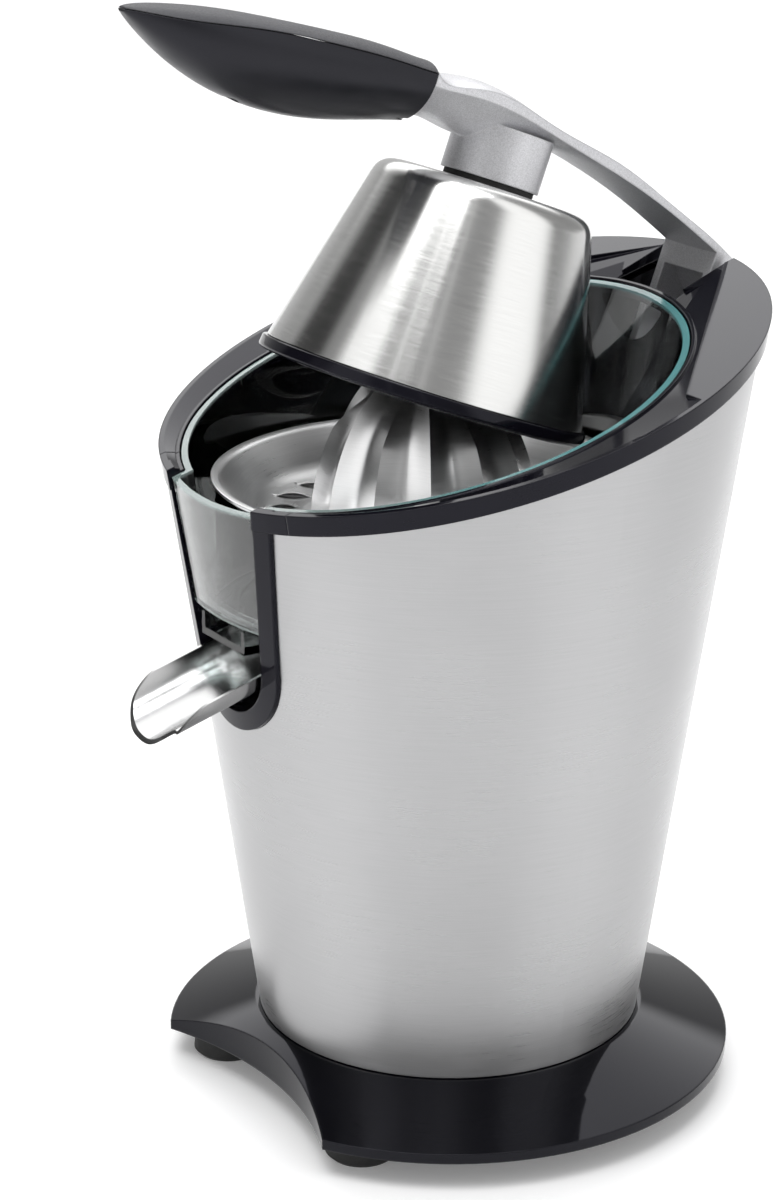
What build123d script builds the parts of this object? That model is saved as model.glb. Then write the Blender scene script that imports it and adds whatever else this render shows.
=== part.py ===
"""Electric citrus press juicer with a lever arm, built as separate pieces.

Millimetres. +Z is up, the spout faces -Y and the lever hinge is at +Y.
The pieces are drawn with the reamer on the Z axis, then all of them are moved
by AXIS_Y, which puts the origin on the table under the middle of the whole.
"""
import os
from math import atan, cos, degrees, pi, radians, sin, tan
from build123d import *

# ---------- driving dimensions ----------
AXIS_Y = -8.0            # the reamer axis in the finished frame

BODY_Y = 11.0            # axis of the conical body
BODY_Z0 = 24.8           # foot of the steel skin
BODY_R0 = 68.0           # radius of the skin at its foot
BODY_TAPER = 0.143       # growth of radius per mm of height
SKIN = 1.0               # steel skin thickness
LINER = 2.5              # inner plastic wall thickness
FIT = 0.15               # assembly gap between fixed pieces

RIM_Z = 252.2            # height of the sloping rim plane over the origin
RIM_SLOPE = 0.279        # rise of the rim plane per mm of +Y
RIM_BAND = 7.0           # height of the black rim band
RIM_PROUD = 2.0          # how far the band stands out from the skin
WING_LINE = 130.0        # the raised rear wings start where |x| + y is this

BOWL_Z0 = 226.9          # reference height of the bowl wall
BOWL_R0 = 81.7           # outer radius of the bowl there
BOWL_TAPER = 0.149
BOWL_WALL = 2.2
BOWL_FLOOR = 175.0
BOWL_DROP = 2.8          # bowl edge below the rim plane
BOWL_GAP = 0.6           # bowl to the lip of the rim
LIP = 1.3                # thickness of that lip

BASE_R = 100.5
BASE_WALL = 2.6
BASE_UNDER = 10.0        # underside of the base lip
NOTCH_Y = -199.0         # centre of the glass notch arc
NOTCH_R = 135.0
FOOT_R = 12.7
FEET = [(-45.5, -54.5), (45.5, -54.5), (-56.0, 67.0), (56.0, 67.0)]

FRAME_R = 27.0           # outer radius at the foot of the front U frame
FRAME_ZC = 172.0
FRAME_FLARE = atan(0.12)
FRAME_WIDTH = 6.5

DECK_Z = 165.0           # underside of the deck that carries the bowl
DECK_T = 3.0
PLATE_Z = 116.0          # underside of the motor plate
PLATE_T = 3.0

SPINDLE_R = 4.0
SWITCH_X = 16.2          # plunger under the collar of the spindle
MOTOR_Y = 12.0
IDLER_Y = 48.0
PINION_TEETH = 12
IDLER_BIG_TEETH = 60
IDLER_SMALL_TEETH = 14
OUTPUT_TEETH = 50
MODULE_FAST = 1.0
MODULE_SLOW = 1.5
FAST_Z = (122.0, 129.0)  # level of the pinion and the large idler wheel
SLOW_Z = (133.0, 143.0)  # level of the small idler wheel and the output gear

STRAINER_R = 72.5
STRAINER_Z = 221.3
REAMER_Z = 208.6         # foot of the reamer skirt

HINGE_Y = 103.0
HINGE_Z = 234.0
PIN_R = 4.0
KNUCKLE_R = 11.0         # round end of the arm about the hinge pin
ARM_TILT = -21.0         # the stored pose of the arm, lifted from closed
MOUTH_Z = 210.0          # mouth of the press cup when closed
CUP_R = 56.6
CUP_H = 73.5
GRIP_END = -43.5         # joint of grip and casting when closed
GRIP_SCREWS = [(-105.0, 77.4), (-62.0, 81.6)]    # y, seat of the head over the mouth
ARM_HALF = 14.5
LEG_IN = 11.0
POCKET_HALF = 17.5
POCKET_WALL = 2.5
POCKET_FLOOR = 217.5

SPOUT_PIVOT = (-66.0, 161.0)
SPOUT_HALF = 19.0
SPOUT_DEPTH = 11.0
SPOUT_WALL = 1.2
SPOUT_SLOPE = 16.2       # degrees below level

TOP = 330.0              # above everything that is cut


# ---------- helpers ----------
def disc(radius, z0, z1, x=0.0, y=0.0):
    return Pos(x, y, (z0 + z1) / 2) * Cylinder(radius, z1 - z0)


def tube(r_out, r_in, z0, z1, x=0.0, y=0.0):
    return disc(r_out, z0, z1, x, y) - disc(r_in, z0 - 1, z1 + 1, x, y)


def block(x0, x1, y0, y1, z0, z1):
    centre = Pos((x0 + x1) / 2, (y0 + y1) / 2, (z0 + z1) / 2)
    return centre * Box(x1 - x0, y1 - y0, z1 - z0)


def rod_x(radius, x0, x1, y, z):
    return Pos((x0 + x1) / 2, y, z) * Rot(0, 90, 0) * Cylinder(radius, x1 - x0)


def turned(points, y=0.0):
    face = make_face(Plane.XZ * Polyline(*points, close=True))
    return Pos(0, y, 0) * revolve(face, Axis.Z)


def body_cone(offset, z0, z1):
    r0 = BODY_R0 + offset + BODY_TAPER * (z0 - BODY_Z0)
    r1 = BODY_R0 + offset + BODY_TAPER * (z1 - BODY_Z0)
    return turned([(0, z0), (r0, z0), (r1, z1), (0, z1)], BODY_Y)


def bowl_radius(z):
    return BOWL_R0 + BOWL_TAPER * (z - BOWL_Z0)


def bowl_cone(offset, z0, z1):
    r0 = bowl_radius(z0) + offset
    r1 = bowl_radius(z1) + offset
    return turned([(0, z0), (r0, z0), (r1, z1), (0, z1)])


def rim_tilt():
    return degrees(atan(RIM_SLOPE))


def below_rim(offset):
    """Everything under the sloping rim plane shifted up by offset."""
    return Pos(0, 0, RIM_Z + offset) * Rot(rim_tilt(), 0, 0) * Pos(0, 0, -300) * Box(700, 700, 600)


def above_rim(offset):
    return Pos(0, 0, RIM_Z + offset) * Rot(rim_tilt(), 0, 0) * Pos(0, 0, 300) * Box(700, 700, 600)


def prism_y(sketch, y0, y1):
    """A sketch in X and Z carried from y0 to y1."""
    return extrude(Plane.XZ.offset(-y1) * sketch, y1 - y0)


def u_sketch(inset):
    """Flared U: a half circle below, straight sides that lean outwards."""
    radius = FRAME_R - inset
    foot_x = radius * cos(FRAME_FLARE)
    foot_z = FRAME_ZC - radius * sin(FRAME_FLARE)
    top_x = foot_x + (TOP - foot_z) * tan(FRAME_FLARE)
    right = Line((top_x, TOP), (foot_x, foot_z))
    arc = ThreePointArc((foot_x, foot_z), (0, FRAME_ZC - radius), (-foot_x, foot_z))
    left = Line((-foot_x, foot_z), (-top_x, TOP))
    top = Line((-top_x, TOP), (top_x, TOP))
    return make_face([right, arc, left, top])


def slot_sketch(half, z_low, corner):
    """Upright slot with round lower corners."""
    height = TOP - z_low
    sketch = Pos(0, z_low + height / 2) * Rectangle(2 * half, height)
    low = sketch.vertices().sort_by(Axis.Y)[:2]
    return fillet(low, corner)


def polar(solid, count, start=0.0):
    copies = [Rot(0, 0, start + 360 * i / count) * solid for i in range(count)]
    return Compound(children=copies)


def gear(teeth, module, z0, z1, phase, x=0.0, y=0.0):
    """Spur gear with straight flanks and working backlash."""
    pitch_r = teeth * module / 2
    profile = [(pitch_r - 1.1 * module, 0.86), (pitch_r, 0.60), (pitch_r + 0.82 * module, 0.30)]
    points = []
    for i in range(teeth):
        middle = radians(phase) + 2 * pi * i / teeth
        for r, half in profile:
            turn = middle - half * module / r
            points.append((r * cos(turn), r * sin(turn)))
        for r, half in reversed(profile):
            turn = middle + half * module / r
            points.append((r * cos(turn), r * sin(turn)))
    face = make_face(Polyline(*points, close=True))
    return Pos(x, y, z0) * extrude(face, z1 - z0)


def screw(x, y, z_head, length, radius=1.9, up=True):
    """Pan head machine screw. Up means that the shank points to +Z."""
    side = 1 if up else -1
    head_r = radius * 1.9
    head_h = radius * 1.1
    head = Pos(0, 0, -side * head_h / 2) * Cylinder(head_r, head_h)
    shank = Pos(0, 0, side * length / 2) * Cylinder(radius, length)
    cross = Pos(0, 0, -side * head_h) * (Box(head_r * 1.2, 0.7, 1.4) + Box(0.7, head_r * 1.2, 1.4))
    return Pos(x, y, z_head) * (head + shank - cross)


def group(solids):
    return Compound(children=list(solids))


# ---------- base ----------
def base_profile(inset):
    """Section of the base: a low cone under a short collar."""
    low = BASE_UNDER - 1 if inset else BASE_UNDER
    return [
        (0, low), (BASE_R - inset, low), (BASE_R - inset, 13.5 - inset * 0.9),
        (BODY_R0 + 1.5, 24.4 - inset), (0, 24.4 - inset),
    ]


def notch(radius, z0=0.0, z1=60.0):
    return disc(radius, z0, z1, 0, NOTCH_Y)


def base_flange():
    outer = turned(base_profile(0), BODY_Y) - notch(NOTCH_R)
    inner = turned(base_profile(BASE_WALL), BODY_Y) - notch(NOTCH_R + BASE_WALL)
    flange = outer - inner - disc(50, 15, 30, 0, BODY_Y)
    for x, y in base_bolts():
        flange += disc(5, 14.0, 23.0, x, y)
        flange -= disc(2.1, 9, 26, x, y)
    return flange


def base_bolts():
    return [(58 * cos(radians(a)), BODY_Y + 58 * sin(radians(a))) for a in (45, 135, 225, 315)]


def base_cover():
    cover = disc(BASE_R - BASE_WALL - 3.6, BASE_UNDER + 0.3, BASE_UNDER + 2.3, 0, BODY_Y)
    cover -= notch(NOTCH_R + BASE_WALL + 0.4)
    for i in range(7):
        y = BODY_Y - 24 + 8 * i
        cover -= block(-22, 22, y - 1.5, y + 1.5, 8, 14)
    for x, y in FEET:
        cover -= disc(4.1, 8, 14, x, y)
    for x, y in base_bolts():
        cover -= disc(4.4, 8, 14, x, y)
    return cover


def rubber_feet():
    feet = []
    for x, y in FEET:
        pad = Pos(x, y, 0) * turned([
            (0, 0), (FOOT_R - 1.5, 0), (FOOT_R, 1.5), (FOOT_R - 0.8, BASE_UNDER), (0, BASE_UNDER)])
        stem = disc(4.0, BASE_UNDER - 1, 13.0, x, y)
        feet.append(pad + stem)
    return group(feet)


def base_screws():
    return group(screw(x, y, 13.9, 15, radius=1.9) for x, y in base_bolts())


# ---------- housing ----------
def front_opening(inset, y1=-40.0):
    return prism_y(u_sketch(inset), -130, y1)


def rear_slot(half, z_low, corner=8.0):
    return prism_y(slot_sketch(half, z_low, corner), 60, 160)


def housing_skin():
    skin = body_cone(0, BODY_Z0, TOP) - body_cone(-SKIN, BODY_Z0 - 1, TOP + 1)
    skin = skin & below_rim(-RIM_BAND - 0.1)
    skin -= front_opening(-FIT)
    skin -= rear_slot(POCKET_HALF + POCKET_WALL + FIT, POCKET_FLOOR - POCKET_WALL - FIT, 8 + FIT)
    skin -= Pos(0, BODY_Y + 70, 42) * Rot(90, 0, 0) * Cylinder(6.2, 60)
    return skin


def inner_liner():
    outer = body_cone(-SKIN - FIT, BODY_Z0, TOP)
    inner = body_cone(-SKIN - FIT - LINER, BODY_Z0 + LINER, TOP + 1)
    liner = (outer - inner) & below_rim(-RIM_BAND - 0.1)
    liner -= disc(52, 20, 30, 0, BODY_Y)
    for x, y in base_bolts():
        liner += disc(4.5, BODY_Z0 + 1, 38, x, y)
        liner -= disc(1.95, 20, 40, x, y)
    liner -= front_opening(FRAME_WIDTH - 2.6 - FIT)
    liner -= rear_slot(POCKET_HALF + POCKET_WALL + FIT, POCKET_FLOOR - POCKET_WALL - FIT, 8 + FIT)
    liner -= Pos(0, BODY_Y + 70, 42) * Rot(90, 0, 0) * Cylinder(6.2, 60)
    for x, y in deck_posts():
        liner += post(x, y, 60, DECK_Z - 0.05)
        liner -= disc(1.6, DECK_Z - 16, DECK_Z + 1, x, y)
    for x, y in plate_posts():
        liner += post(x, y, 60, PLATE_Z - 0.05)
        liner -= disc(1.6, PLATE_Z - 16, PLATE_Z + 1, x, y)
    return liner


def post(x, y, z0, z1):
    """Screw post against the inside of the liner, tied to it by a web."""
    away = 1 if x > 0 else -1
    reach = body_cone(-SKIN - FIT - 1, z0, z1)
    web = block(min(x, x + away * 30), max(x, x + away * 30), y - 1.5, y + 1.5, z0, z1)
    return (disc(4.5, z0, z1, x, y) + web) & reach


def deck_posts():
    return [(sx * 70, BODY_Y + sy * 22) for sx in (-1, 1) for sy in (-1, 1)]


def plate_posts():
    return [(sx * 61, BODY_Y + sy * 36) for sx in (-1, 1) for sy in (-1, 1)]


def rim_ring():
    """The sloping black ring, whole all round."""
    lip = bowl_cone(BOWL_GAP + LIP, 170, TOP)
    ring = body_cone(RIM_PROUD, 190, TOP) & below_rim(0) & above_rim(-RIM_BAND)
    tools = dish_tool() & block(-200, 200, -200, 40, 150, TOP)
    for side in (-1, 1):
        tools += dish_tool() & wing_side(side)
    ring -= tools - lip
    for side in (-1, 1):
        ring -= facet_tool(side) - lip
    ring -= lip & above_rim(0.6 - BOWL_DROP)
    hollow = body_cone(-1.2, 180, TOP) - bowl_cone(3.4, 170, TOP)
    ring -= hollow & below_rim(-4.6)
    return ring - bowl_cone(BOWL_GAP, 180, TOP)


def wing_side(side):
    """The part of the rim between the bowl and one rear wing."""
    edge = WING_LINE
    points = [(0, 39), (side * (edge - 39), 39), (0, edge)]
    return extrude(Pos(0, 0, 150) * make_face(Polyline(*points, close=True)), TOP - 150)


def dish_tool():
    """Shallow funnel from the outer edge of the rim down to the bowl edge."""
    stretch = 1 / cos(atan(RIM_SLOPE))
    sections = []
    for radius, y, drop in ((84.0, 3.5, -BOWL_DROP - 0.5), (101.0, 15.0, 0.0), (103.2, 15.2, 0.4)):
        plane = Plane(origin=(0, y, RIM_Z + drop + RIM_SLOPE * y), x_dir=(1, 0, 0),
                      z_dir=(0, -RIM_SLOPE, 1))
        sections.append(plane * Ellipse(radius, radius * stretch))
    return loft(sections, ruled=True)


def facet_tool(side):
    """Flat facet that falls from a wing edge towards the bowl."""
    reach = 60.0
    edge_y = WING_LINE / 2
    tool = Pos(0, -reach / 2, reach / 2) * Box(110, reach, reach)
    tool = Rot(16, 0, 0) * tool
    tool = Rot(0, 0, -45) * tool
    tool = Pos(edge_y, edge_y, 0) * tool
    z = RIM_Z + RIM_SLOPE * edge_y
    tool = Pos(0, 0, z) * tilt_about(edge_y, tool)
    if side < 0:
        tool = mirror(tool, Plane.YZ)
    keep = block(-200, 200, 60, 140, 150, TOP)
    return tool & keep


def tilt_about(y, tool):
    """Lean a tool back with the rim, about a line through (0, y)."""
    return Pos(0, y, 0) * Rot(rim_tilt(), 0, 0) * Pos(0, -y, 0) * tool


def rim_trim():
    slot = block(-POCKET_HALF, POCKET_HALF, 80, 140, 150, TOP)
    slot -= bowl_cone(BOWL_GAP + LIP + 0.03, 140, TOP + 1)
    return (rim_ring() - block(-41.2, 41.2, -130, 0, 150, TOP)) - slot


def front_frame():
    """U shaped surround of the window and spout, with a short tunnel behind it."""
    face = body_cone(1.6, 130, TOP) - body_cone(-SKIN - FIT, 120, TOP + 1)
    band = front_opening(0) - front_opening(FRAME_WIDTH, -30)
    frame = face & band & below_rim(-RIM_BAND)
    tunnel = front_opening(FRAME_WIDTH - 2.5, -56) - front_opening(FRAME_WIDTH, -50)
    tunnel = tunnel & body_cone(-SKIN, 130, TOP) & block(-40, 40, -130, 0, 130, 171.6)
    back = front_opening(FRAME_WIDTH - 2.5, -56) & block(-40, 40, -57.8, -50, 130, 171.6)
    ears = rim_ring() & block(-41, 41, -130, 0, 150, TOP)
    ears += (body_cone(RIM_PROUD, 190, TOP) - body_cone(-SKIN, 180, TOP)) & band \
        & below_rim(0) & above_rim(-RIM_BAND)
    ears -= front_opening(FRAME_WIDTH, -30)
    frame += tunnel + back + ears
    frame -= rod_x(2.02, -30, 30, *spout_axis())
    return frame


def hinge_pocket():
    """Black pocket that carries the hinge pin, open at the top and the rear."""
    shell = rear_slot(POCKET_HALF + POCKET_WALL, POCKET_FLOOR - POCKET_WALL)
    shell = shell & body_cone(1.4, 150, TOP) & below_rim(-RIM_BAND - 0.1)
    shell = shell & block(-50, 50, 84.4, 160, 150, TOP)
    space = rear_slot(POCKET_HALF, POCKET_FLOOR, 6) & block(-50, 50, 86.9, 170, 150, TOP)
    shell -= space
    shell -= bowl_cone(0.8, 150, TOP)
    shell -= rod_x(PIN_R + 0.03, -40, 40, HINGE_Y, HINGE_Z)
    return shell


def cord_gland():
    profile = [(3.5, 0), (8.6, 0), (8.6, 2.5), (6.0, 2.5), (6.0, 9.0), (8.2, 9.0), (8.2, 11.0), (3.5, 11.0)]
    gland = revolve(make_face(Plane.XZ * Polyline(*profile, close=True)), Axis.Z)
    outside = BODY_Y + BODY_R0 + BODY_TAPER * (42 - BODY_Z0)
    return Pos(0, outside + 3.9, 42) * Rot(90, 0, 0) * gland


# ---------- drive ----------
def deck():
    """Carries the bowl, with a raised tube for the spindle."""
    r = BODY_R0 + BODY_TAPER * (DECK_Z - BODY_Z0) - SKIN - LINER - 2 * FIT
    plate = disc(r, DECK_Z, DECK_Z + DECK_T, 0, BODY_Y)
    plate += disc(8.2, DECK_Z, 198, 0, 0)
    plate -= disc(6.2, DECK_Z - 1, 199, 0, 0)
    plate += tube(57.5, 55.5, DECK_Z - 6, DECK_Z + 1)
    plate -= block(-25, 25, -140, -55.4, 150, 180)
    for x, y in deck_posts():
        plate -= disc(2.0, DECK_Z - 1, DECK_Z + 5, x, y)
    plate -= disc(3.02, DECK_Z - 1, DECK_Z + 1.6, 0, IDLER_Y)
    return plate


def deck_screws():
    return group(screw(x, y, DECK_Z + DECK_T, 14, radius=1.5, up=False) for x, y in deck_posts())


def motor_plate():
    plate = block(-64.5, 64.5, BODY_Y - 42, BODY_Y + 42, PLATE_Z, PLATE_Z + PLATE_T)
    plate = plate & disc(72, 100, 130, 0, BODY_Y)
    plate += disc(7, PLATE_Z - 2, PLATE_Z + PLATE_T, 0, IDLER_Y)
    plate -= disc(8.5, 100, 130, 0, MOTOR_Y)
    plate -= disc(3.02, 100, 130, 0, IDLER_Y)
    for x, y in plate_posts():
        plate -= disc(2.0, 100, 130, x, y)
    for x, y in motor_bolts():
        plate -= disc(2.0, 100, 130, x, y)
    return plate


def plate_screws():
    return group(screw(x, y, PLATE_Z + PLATE_T, 14, radius=1.5, up=False) for x, y in plate_posts())


def motor_bolts():
    return [(-18, MOTOR_Y), (18, MOTOR_Y)]


def motor_can():
    can = disc(27, 52, PLATE_Z - 0.1, 0, MOTOR_Y)
    can -= disc(25.8, 51, PLATE_Z - 2, 0, MOTOR_Y)
    can -= disc(5.1, 100, 130, 0, MOTOR_Y)
    for x, y in motor_bolts():
        can -= disc(1.6, 100, 130, x, y)
    return can


def motor_stator():
    stator = tube(25.6, 17.0, 64, 104, 0, MOTOR_Y)
    slot = block(16.0, 22.0, -2.2, 2.2, 60, 108)
    stator -= Pos(0, MOTOR_Y, 0) * polar(slot, 8)
    return stator


def motor_end_cap():
    cap = disc(25.7, 52, 56, 0, MOTOR_Y)
    cap += disc(8, 46, 56, 0, MOTOR_Y)
    cap -= disc(5.1, 40, 60, 0, MOTOR_Y)
    for i in range(6):
        cap -= Pos(0, MOTOR_Y, 54) * Rot(0, 0, 60 * i + 30) * Pos(17, 0, 0) * Cylinder(4.2, 8)
    return cap


def motor_bushes():
    low = tube(5.0, 3.05, 46.5, 55.5, 0, MOTOR_Y)
    high = tube(5.0, 3.05, PLATE_Z - 2, PLATE_Z + 2, 0, MOTOR_Y)
    return group([low, high])


def motor_screws():
    return group(screw(x, y, PLATE_Z + PLATE_T, 6, radius=1.5, up=False) for x, y in motor_bolts())


def motor_shaft():
    return disc(3.0, 34, 130.0, 0, MOTOR_Y)


def motor_armature():
    core = disc(16.3, 64, 104, 0, MOTOR_Y)
    slot = block(12.5, 18, -1.0, 1.0, 60, 108)
    core -= Pos(0, MOTOR_Y, 0) * polar(slot, 12)
    return core - disc(3.0, 60, 108, 0, MOTOR_Y)


def cooling_fan():
    hub = disc(7, 36, 44, 0, MOTOR_Y) + disc(22, 42.5, 44, 0, MOTOR_Y)
    blade = Pos(14.5, 0, 40) * Rot(0, 0, 22) * Box(15, 1.4, 7)
    fan = hub + (Pos(0, MOTOR_Y, 0) * polar(blade, 9))
    return fan - disc(3.0, 30, 50, 0, MOTOR_Y)


def motor_pinion():
    teeth = gear(PINION_TEETH, MODULE_FAST, *FAST_Z, 90 + 180 / PINION_TEETH, 0, MOTOR_Y)
    return teeth - disc(3.0, 110, 140, 0, MOTOR_Y)


def idler_gear():
    """Compound wheel: the large one takes the pinion, the small one drives the output."""
    big = gear(IDLER_BIG_TEETH, MODULE_FAST, *FAST_Z, 270, 0, IDLER_Y)
    web = Pos(0, IDLER_Y, 0) * polar(disc(5.5, 110, 140, 19, 0), 6)
    turn = 270 + 180 / IDLER_SMALL_TEETH
    small = gear(IDLER_SMALL_TEETH, MODULE_SLOW, FAST_Z[1], SLOW_Z[1], turn, 0, IDLER_Y)
    hub = disc(8, FAST_Z[1] - 1, SLOW_Z[0] - 0.5, 0, IDLER_Y)
    small = small & disc(40, SLOW_Z[0] - 0.5, 200, 0, IDLER_Y)
    return big - web + hub + small - disc(3.06, 100, 150, 0, IDLER_Y)


def idler_pin():
    return disc(3.0, PLATE_Z - 2, DECK_Z + 1.5, 0, IDLER_Y)


def idler_washers():
    low = tube(6.5, 3.1, PLATE_Z + PLATE_T + 0.3, FAST_Z[0] - 0.4, 0, IDLER_Y)
    high = tube(6.5, 3.1, SLOW_Z[1] + 0.4, SLOW_Z[1] + 2.4, 0, IDLER_Y)
    return group([low, high])


def output_gear():
    wheel = gear(OUTPUT_TEETH, MODULE_SLOW, *SLOW_Z, 90, 0, 0)
    wheel -= tube(31, 15, SLOW_Z[1] - 3, 160)
    wheel += disc(11, SLOW_Z[1] - 3, SLOW_Z[1] + 3)
    wheel -= hexagon(SPINDLE_R + 0.06, SLOW_Z[0] - 1, SLOW_Z[1] + 4)
    return wheel


def hexagon(apothem, z0, z1):
    return Pos(0, 0, z0) * extrude(RegularPolygon(apothem, 6, major_radius=False), z1 - z0)


def output_carrier():
    """Bridge under the output gear that keeps it at its height."""
    plate = block(-52, 52, -20, -6, 119.2, 122)
    plate += tube(15, 10.2, 122, SLOW_Z[0] - 0.4)
    plate = plate - disc(9.8, 100, 132.0) - disc(9.5, 100, 140, 0, MOTOR_Y)
    plate -= disc(32, 121.0, 130.0, 0, IDLER_Y)
    return plate


def spindle():
    """Hexagonal ends, with a collar for the return spring and the switch."""
    shaft = hexagon(SPINDLE_R, SLOW_Z[0] + 0.5, 156)
    shaft += disc(SPINDLE_R, 156, 204)
    shaft += disc(18.6, 156.5, 158)
    shaft += disc(7, 158, 161)
    shaft += hexagon(SPINDLE_R, 204, 232)
    return shaft


def spindle_bushes():
    return group([tube(6.1, SPINDLE_R + 0.06, 168, 176), tube(6.1, SPINDLE_R + 0.06, 186, 195)])


def spindle_seal():
    return turned([(4.25, 198.1), (7.9, 198.1), (7.9, 200.8), (6.4, 200.8), (4.25, 200.0)])


def return_spring():
    """Coil spring between the output gear and the spindle collar."""
    wire = 0.7
    low = SLOW_Z[1] + 3 + wire + 0.2
    height = 156.5 - wire - 0.2 - low
    path = Helix(pitch=height / 3.5, height=height, radius=7.2)
    section = Plane(origin=path @ 0, z_dir=path % 0) * Circle(wire)
    return Pos(0, 0, low) * sweep(section, path=path, is_frenet=True)


def switch_body():
    body = block(13.0, 30, -5, 5, 144.2, 151.6)
    body -= disc(1.7, 146, 160, SWITCH_X, 0)
    body += block(30, 33, -4, -2.5, 147, 149) + block(30, 33, 2.5, 4, 147, 149)
    return body


def switch_bracket():
    top = DECK_Z - 0.1
    return block(20.5, 31, 5.2, 6.8, 144.4, top) + block(20.5, 31, 5.2, 14, top - 1.6, top)


def switch_plunger():
    return disc(1.5, 148.6, 156.2, SWITCH_X, 0) + disc(2.4, 154.8, 156.2, SWITCH_X, 0)


def terminal_block():
    body = block(-62, -44, 6, 18, PLATE_Z + PLATE_T, PLATE_Z + PLATE_T + 9)
    for i in range(3):
        body -= disc(1.6, PLATE_Z + 8, 140, -58.5 + 5.5 * i, 12)
    return body


# ---------- juice path ----------
def window_block(inset, cone_offset, z_low):
    shape = front_opening(inset, -50) & body_cone(cone_offset, 150, TOP)
    return shape & block(-60, 60, -130, -50, z_low, TOP)


def juice_bowl():
    edge = FRAME_WIDTH + 0.4
    outer = bowl_cone(0, BOWL_FLOOR, TOP) + window_block(edge, 0.6, 184.0)
    outer = outer & below_rim(-BOWL_DROP)
    inner = bowl_cone(-BOWL_WALL, BOWL_FLOOR + 2.5, TOP + 1)
    inner += window_block(edge + 2.0, -1.4, 186.0)
    bowl = outer - inner
    bowl += block(-14, 14, -79.5, -60, BOWL_FLOOR, 183) - bowl_cone(-1, 150, 200)
    bowl -= block(-12, 12, -90, -60, BOWL_FLOOR + 2.5, 183)
    skirt = tube(63.5, 61.5, DECK_Z + DECK_T, BOWL_FLOOR + 1)
    bowl += skirt - block(-26, 26, -90, -50, 160, BOWL_FLOOR - 0.1)
    rib = block(71, 85, -1.5, 1.5, BOWL_FLOOR + 1, 220.4) & bowl_cone(-1, 150, TOP)
    bowl += polar(rib, 6)
    bowl += disc(11.4, BOWL_FLOOR, 203)
    bowl -= disc(9.2, BOWL_FLOOR - 1, 204)
    return bowl


def strainer():
    """Pressed steel dish with slots around the reamer."""
    dish = turned([
        (12.0, 204.6), (43, 204.6), (59, 206.6), (70.2, 220.4), (STRAINER_R, 220.8),
        (STRAINER_R, 222.0), (69.6, 221.8), (58.4, 207.8), (42.8, 205.8), (12.0, 205.8)])
    dish += tube(13.2, 12.0, 201.6, 205)
    slot = Pos(50, 0, 206) * Rot(0, 0, 38) * Box(15, 1.5, 8)
    return dish - polar(slot, 22)


def reamer():
    """Ribbed cone with long ribs and, between them, ribs that stop short of the tip."""
    crest = [
        (0, REAMER_Z), (38.5, REAMER_Z), (38.0, 214), (35.5, 226),
        (31, 238), (24, 249), (14, 257.5), (0, 261.5)]
    valley = [
        (0, REAMER_Z), (35.4, REAMER_Z), (34.6, 214), (31.9, 226),
        (27.2, 237), (20.2, 247), (11, 254.5), (0, 258)]
    inside = [
        (0, REAMER_Z - 1), (33.6, REAMER_Z - 1), (32.8, 214), (30.1, 225.5),
        (25.4, 236), (18, 244), (9.5, 248), (0, 250)]
    cone = turned(valley)
    long_rib = block(6, 45, -1.8, 1.8, REAMER_Z, 260.6) & turned(crest)
    short_rib = block(20, 45, -1.8, 1.8, REAMER_Z, 249) & turned(crest)
    for i in range(6):
        cone += Rot(0, 0, 60 * i) * long_rib
        cone += Rot(0, 0, 60 * i + 30) * short_rib
    cone -= turned(inside)
    cone += disc(9, 206.2, 249)
    cone -= hexagon(SPINDLE_R + 0.1, 200, 232.4)
    return cone


def spout_place():
    """Frame on the spout's upper edge at the pivot, sloping down to the front."""
    y, z = SPOUT_PIVOT
    return Pos(0, y, z + SPOUT_DEPTH) * Rot(SPOUT_SLOPE, 0, 0)


def half_ellipse(half, depth):
    arc = Spline((-half, 0), (-half * 0.81, -depth * 0.55), (-half * 0.45, -depth * 0.88), (0, -depth),
                 (half * 0.45, -depth * 0.88), (half * 0.81, -depth * 0.55), (half, 0),
                 tangents=[(0.3, -1), (0.3, 1)])
    return make_face([arc, Line((half, 0), (-half, 0))])


def spout():
    """Open steel trough with a closed root and a round pouring lip."""
    shell = prism_y(half_ellipse(SPOUT_HALF, SPOUT_DEPTH), -60, 1)
    shell -= prism_y(half_ellipse(SPOUT_HALF - SPOUT_WALL, SPOUT_DEPTH - SPOUT_WALL), -61, 1 - SPOUT_WALL)
    nose = Spline((-30, 0.1), (-36, -1.4), (-42, -4.6), (-47, -8.6), (-50.6, -11.6),
                  tangents=[(-1, -0.05), (-0.8, -1)])
    outline = (Line((8, 0.1), (-30, 0.1)), nose, Line(nose @ 1, (8, -11.6)), Line((8, -11.6), (8, 0.1)))
    keep = make_face([Plane.YZ * edge for edge in outline])
    shell = shell & extrude(keep, 30, both=True)
    for side in (-1, 1):
        shell += rod_x(3, side * 13.5 - 1.1, side * 13.5 + 1.1, 0, -SPOUT_DEPTH)
        shell += block(side * 13.5 - 1.1, side * 13.5 + 1.1, -3, 3, -SPOUT_DEPTH, -7)
        shell -= rod_x(2.06, side * 13.5 - 3, side * 13.5 + 3, 0, -SPOUT_DEPTH)
    return spout_place() * shell


def spout_pins():
    """Two stub pins, held by the frame."""
    return group(rod_x(2.0, side * 15.8 - 4.4, side * 15.8 + 4.4, *spout_axis()) for side in (-1, 1))


def spout_axis():
    """Y and Z of the spout's pivot pins."""
    slope = radians(SPOUT_SLOPE)
    low = SPOUT_DEPTH
    return SPOUT_PIVOT[0] + low * sin(slope), SPOUT_PIVOT[1] + SPOUT_DEPTH - low * cos(slope)


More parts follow.
